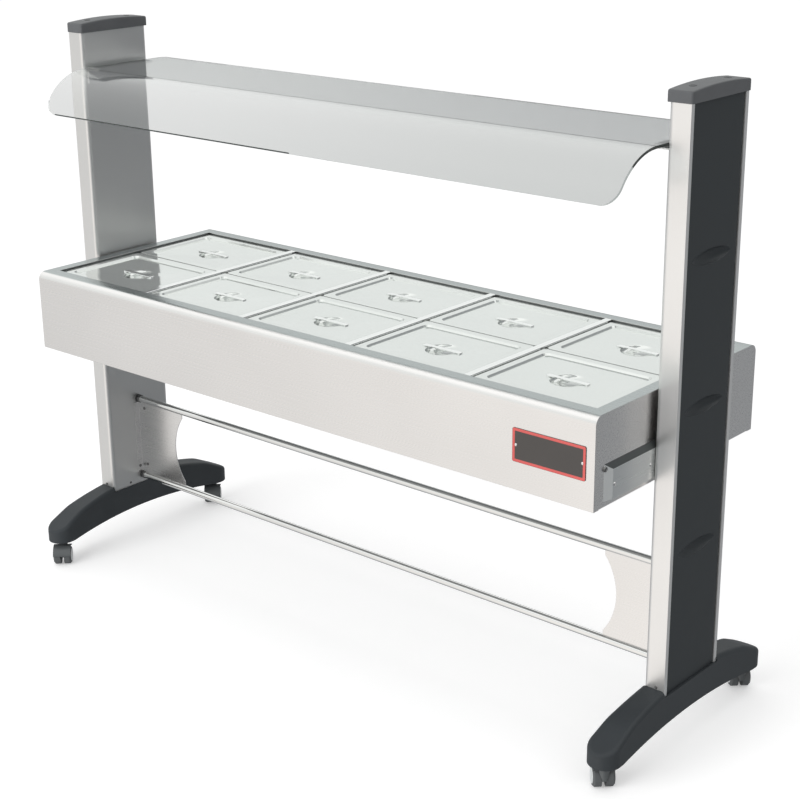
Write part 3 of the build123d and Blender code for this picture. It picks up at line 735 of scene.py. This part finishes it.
def glass_edge(name, outline, material, lip=0.0):
    data = bmesh.new()
    half = glass_sheet / 2
    levels = [(-half, 0.0), (-half + edge_ease, edge_proud), (half - edge_ease, edge_proud),
              (half + edge_over, 0.0)]
    if lip:
        levels.append((half + edge_over, -lip))
    rows = []
    for x, run, out_x, out_run in outline:
        rows.append([data.verts.new(on_glass(x + proud * out_x, run + proud * out_run, depth))
                     for depth, proud in levels])
    for first, second in zip(rows, rows[1:]):
        for step in range(len(levels) - 1):
            data.faces.new((first[step], second[step], second[step + 1], first[step + 1]))
    bmesh.ops.recalc_face_normals(data, faces=data.faces)
    return put(name, data, "counter", material)


def corner_arc(x, run, radius, start, stop, steps=10):
    arc = []
    for step in range(steps + 1):
        angle = start + (stop - start) * step / steps
        out_x, out_run = math.cos(angle), math.sin(angle)
        arc.append((x + radius * out_x, run + radius * out_run, out_x, out_run))
    return arc


def end_outline(side, steps=32):
    top, bottom = back_corner, sheet_run - front_corner
    x = side * glass_high.x
    line = [(x, top + (bottom - top) * step / steps, side, 0) for step in range(steps + 1)]
    start, stop = (0, math.pi / 2) if side > 0 else (math.pi, math.pi / 2)
    return line + corner_arc(x - side * front_corner, bottom, front_corner, start, stop)


front_reach = glass_high.x - front_corner
back_reach = glass_high.x - back_corner
right_end = end_outline(1)
# The right edge is painted dark reflection up to this run along the bend, pale beyond
dark_reflection_run = flat_run + dark_reflection_share * mean_radius * bend_turn
dark_reflection_count = sum(run <= dark_reflection_run for x, run, out_x, out_run in right_end)
glass_edge("glass_edge_right_top", right_end[:dark_reflection_count], dark_reflecting_edge)
glass_edge("glass_edge_right_hood", right_end[dark_reflection_count - 1:], pale_reflecting_edge)
glass_edge("glass_edge_left", end_outline(-1), pale_reflecting_edge)
glass_edge("glass_edge_front_right", [(x, sheet_run, 0, 1) for x in (front_reach, 0)], pale_reflecting_edge)
glass_edge("glass_edge_front_left", [(x, sheet_run, 0, 1) for x in (0, -front_reach)], dark_reflecting_edge, front_lip)
glass_edge("glass_edge_back_right", [(x, 0, 0, -1) for x in (back_reach, back_split)], dark_reflecting_edge, back_lip)
glass_edge("glass_edge_back_left", [(x, 0, 0, -1) for x in (back_split, -back_reach)], pale_reflecting_edge)


# Studio: floor, world, lamp and camera

floor_reach, floor_glow = 60.0, 0.30


def stage_floor():
    data = bmesh.new()
    corners = [data.verts.new((x * floor_reach, y * floor_reach, 0))
               for x, y in ((-1, -1), (1, -1), (1, 1), (-1, 1))]
    data.faces.new(corners)
    bmesh.ops.subdivide_edges(data, edges=data.edges[:], cuts=3, use_grid_fill=True)
    mesh = bpy.data.meshes.new("floor")
    data.to_mesh(mesh)
    data.free()
    material, bsdf = shader("floor_white", (0.84, 0.84, 0.84), 0.0, 0.9)
    tree = material.node_tree
    bsdf.inputs["Specular IOR Level"].default_value = 0.0
    path = add(tree, "ShaderNodeLightPath")
    glow = add(tree, "ShaderNodeMath", operation="MULTIPLY")
    glow.inputs[1].default_value = floor_glow
    tree.links.new(path.outputs["Is Camera Ray"], glow.inputs[0])
    bsdf.inputs["Emission Color"].default_value = (1, 1, 1, 1)
    tree.links.new(glow.outputs["Value"], bsdf.inputs["Emission Strength"])
    mesh.materials.append(material)
    floor = bpy.data.objects.new("floor", mesh)
    floor.visible_glossy = False
    bpy.context.scene.collection.objects.link(floor)


# What glossy rays see: level of the wall and height where it ends, by azimuth in degrees
wall_levels = {-180: 0.38, -160: 0.56, -143: 0.72, -135: 0.82, -127: 0.92, -120: 0.98, -90: 1.08, -75: 0.72,
               -60: 0.36, -40: 0.24, 0: 0.19, 30: 0.18, 42: 0.21, 57: 0.32, 75: 0.30, 120: 0.28, 150: 0.28}
horizon_levels = {-180: 0.04, -90: 0.04, -20: 0.30, 20: 0.48, 75: 0.48, 105: 0.10, 150: 0.04}
wall_fade, zenith_starts, zenith_full = 0.16, 0.40, 0.75
neutral_level, warmth_slope = 0.64, 0.10


def wall_color(level):
    warmth = warmth_slope * (level - neutral_level)
    return level * (1 + warmth), level, level * (1 - warmth), 1


def ring_ramp(tree, colors):
    ramp = add(tree, "ShaderNodeValToRGB")
    elements = ramp.color_ramp.elements
    elements[0].color = elements[1].color = colors[-180]
    for angle, color in colors.items():
        if angle > -180:
            elements.new((angle + 180) / 360).color = color
    return ramp


def studio_world():
    world = bpy.data.worlds.new("studio")
    bpy.context.scene.world = world
    world.use_nodes = True
    world.cycles.sampling_method = "NONE"
    tree = world.node_tree
    tree.nodes.clear()
    output = add(tree, "ShaderNodeOutputWorld")
    background = add(tree, "ShaderNodeBackground")
    coords = add(tree, "ShaderNodeTexCoord")
    split = add(tree, "ShaderNodeSeparateXYZ")
    tree.links.new(coords.outputs["Generated"], split.inputs["Vector"])
    azimuth = add(tree, "ShaderNodeMath", operation="ARCTAN2")
    tree.links.new(split.outputs["Y"], azimuth.inputs[0])
    tree.links.new(split.outputs["X"], azimuth.inputs[1])
    around = add(tree, "ShaderNodeMapRange")
    around.inputs["From Min"].default_value = -math.pi
    around.inputs["From Max"].default_value = math.pi
    tree.links.new(azimuth.outputs["Value"], around.inputs["Value"])
    walls = ring_ramp(tree, {angle: wall_color(level) for angle, level in wall_levels.items()})
    horizon = ring_ramp(tree, {angle: (level, level, level, 1) for angle, level in horizon_levels.items()})
    tree.links.new(around.outputs["Result"], walls.inputs["Fac"])
    tree.links.new(around.outputs["Result"], horizon.inputs["Fac"])
    clear = add(tree, "ShaderNodeMath", operation="ADD")
    clear.inputs[1].default_value = wall_fade
    tree.links.new(horizon.outputs["Color"], clear.inputs[0])
    up = add(tree, "ShaderNodeMapRange", interpolation_type="SMOOTHSTEP")
    tree.links.new(horizon.outputs["Color"], up.inputs["From Min"])
    tree.links.new(clear.outputs["Value"], up.inputs["From Max"])
    tree.links.new(split.outputs["Z"], up.inputs["Value"])
    zenith = add(tree, "ShaderNodeMapRange", interpolation_type="SMOOTHSTEP")
    zenith.inputs["From Min"].default_value = zenith_starts
    zenith.inputs["From Max"].default_value = zenith_full
    tree.links.new(split.outputs["Z"], zenith.inputs["Value"])
    ceiling = blend(tree, zenith.outputs["Result"], (0.90, 0.92, 0.91), (1.18, 1.18, 1.17))
    sky = add(tree, "ShaderNodeMix", data_type="RGBA")
    tree.links.new(ceiling, sky.inputs["B"])
    tree.links.new(up.outputs["Result"], sky.inputs["Factor"])
    tree.links.new(walls.outputs["Color"], sky.inputs["A"])
    path = add(tree, "ShaderNodeLightPath")
    soft = add(tree, "ShaderNodeMix", data_type="RGBA")
    soft.inputs["A"].default_value = (0.86, 0.86, 0.86, 1)
    tree.links.new(path.outputs["Is Glossy Ray"], soft.inputs["Factor"])
    tree.links.new(sky.outputs["Result"], soft.inputs["B"])
    seen = add(tree, "ShaderNodeMath", operation="MAXIMUM")
    tree.links.new(path.outputs["Is Camera Ray"], seen.inputs[0])
    tree.links.new(path.outputs["Is Transmission Ray"], seen.inputs[1])
    backdrop = add(tree, "ShaderNodeMix", data_type="RGBA")
    backdrop.inputs["B"].default_value = (1, 1, 1, 1)
    tree.links.new(seen.outputs["Value"], backdrop.inputs["Factor"])
    tree.links.new(soft.outputs["Result"], backdrop.inputs["A"])
    tree.links.new(backdrop.outputs["Result"], background.inputs["Color"])
    tree.links.new(background.outputs["Background"], output.inputs["Surface"])


def key_lamp():
    light = bpy.data.lights.new("softbox", "AREA")
    light.shape = "RECTANGLE"
    light.size = 4.0
    light.size_y = 3.0
    light.energy = 200.0
    lamp = bpy.data.objects.new("softbox", light)
    place = Vector((-0.6, -5.5, 2.6))
    aim = Vector((0, 0, 0.7)) - place
    lamp.matrix_world = Matrix.Translation(place) @ aim.to_track_quat("-Z", "Y").to_matrix().to_4x4()
    lamp.visible_glossy = False
    lamp.visible_camera = False
    lamp.visible_transmission = False
    bpy.context.scene.collection.objects.link(lamp)


def photo_camera():
    azimuth, elevation, roll = (math.radians(angle) for angle in (41.0241, 19.3867, -0.6177))
    back = Vector((math.sin(azimuth) * math.cos(elevation), -math.cos(azimuth) * math.cos(elevation),
                   math.sin(elevation)))
    right = Vector((math.cos(azimuth), math.sin(azimuth), 0))
    up = back.cross(right)
    across = right * math.cos(roll) + up * math.sin(roll)
    upward = up * math.cos(roll) - right * math.sin(roll)
    place = Vector((2.6270, -2.9078, 1.9805))
    camera = bpy.data.cameras.new("photo_camera")
    camera.sensor_width = 36.0
    camera.sensor_fit = "HORIZONTAL"
    camera.lens = 75.33
    camera.clip_end = 200.0
    holder = bpy.data.objects.new("photo_camera", camera)
    columns = (across, upward, back, place)
    holder.matrix_world = Matrix([[column[row] for column in columns] for row in range(3)] + [[0, 0, 0, 1]])
    bpy.context.scene.collection.objects.link(holder)
    bpy.context.scene.camera = holder


nodes["sneeze_guard"].visible_shadow = False
stage_floor()
studio_world()
key_lamp()
photo_camera()
bpy.context.scene.view_settings.view_transform = "Standard"
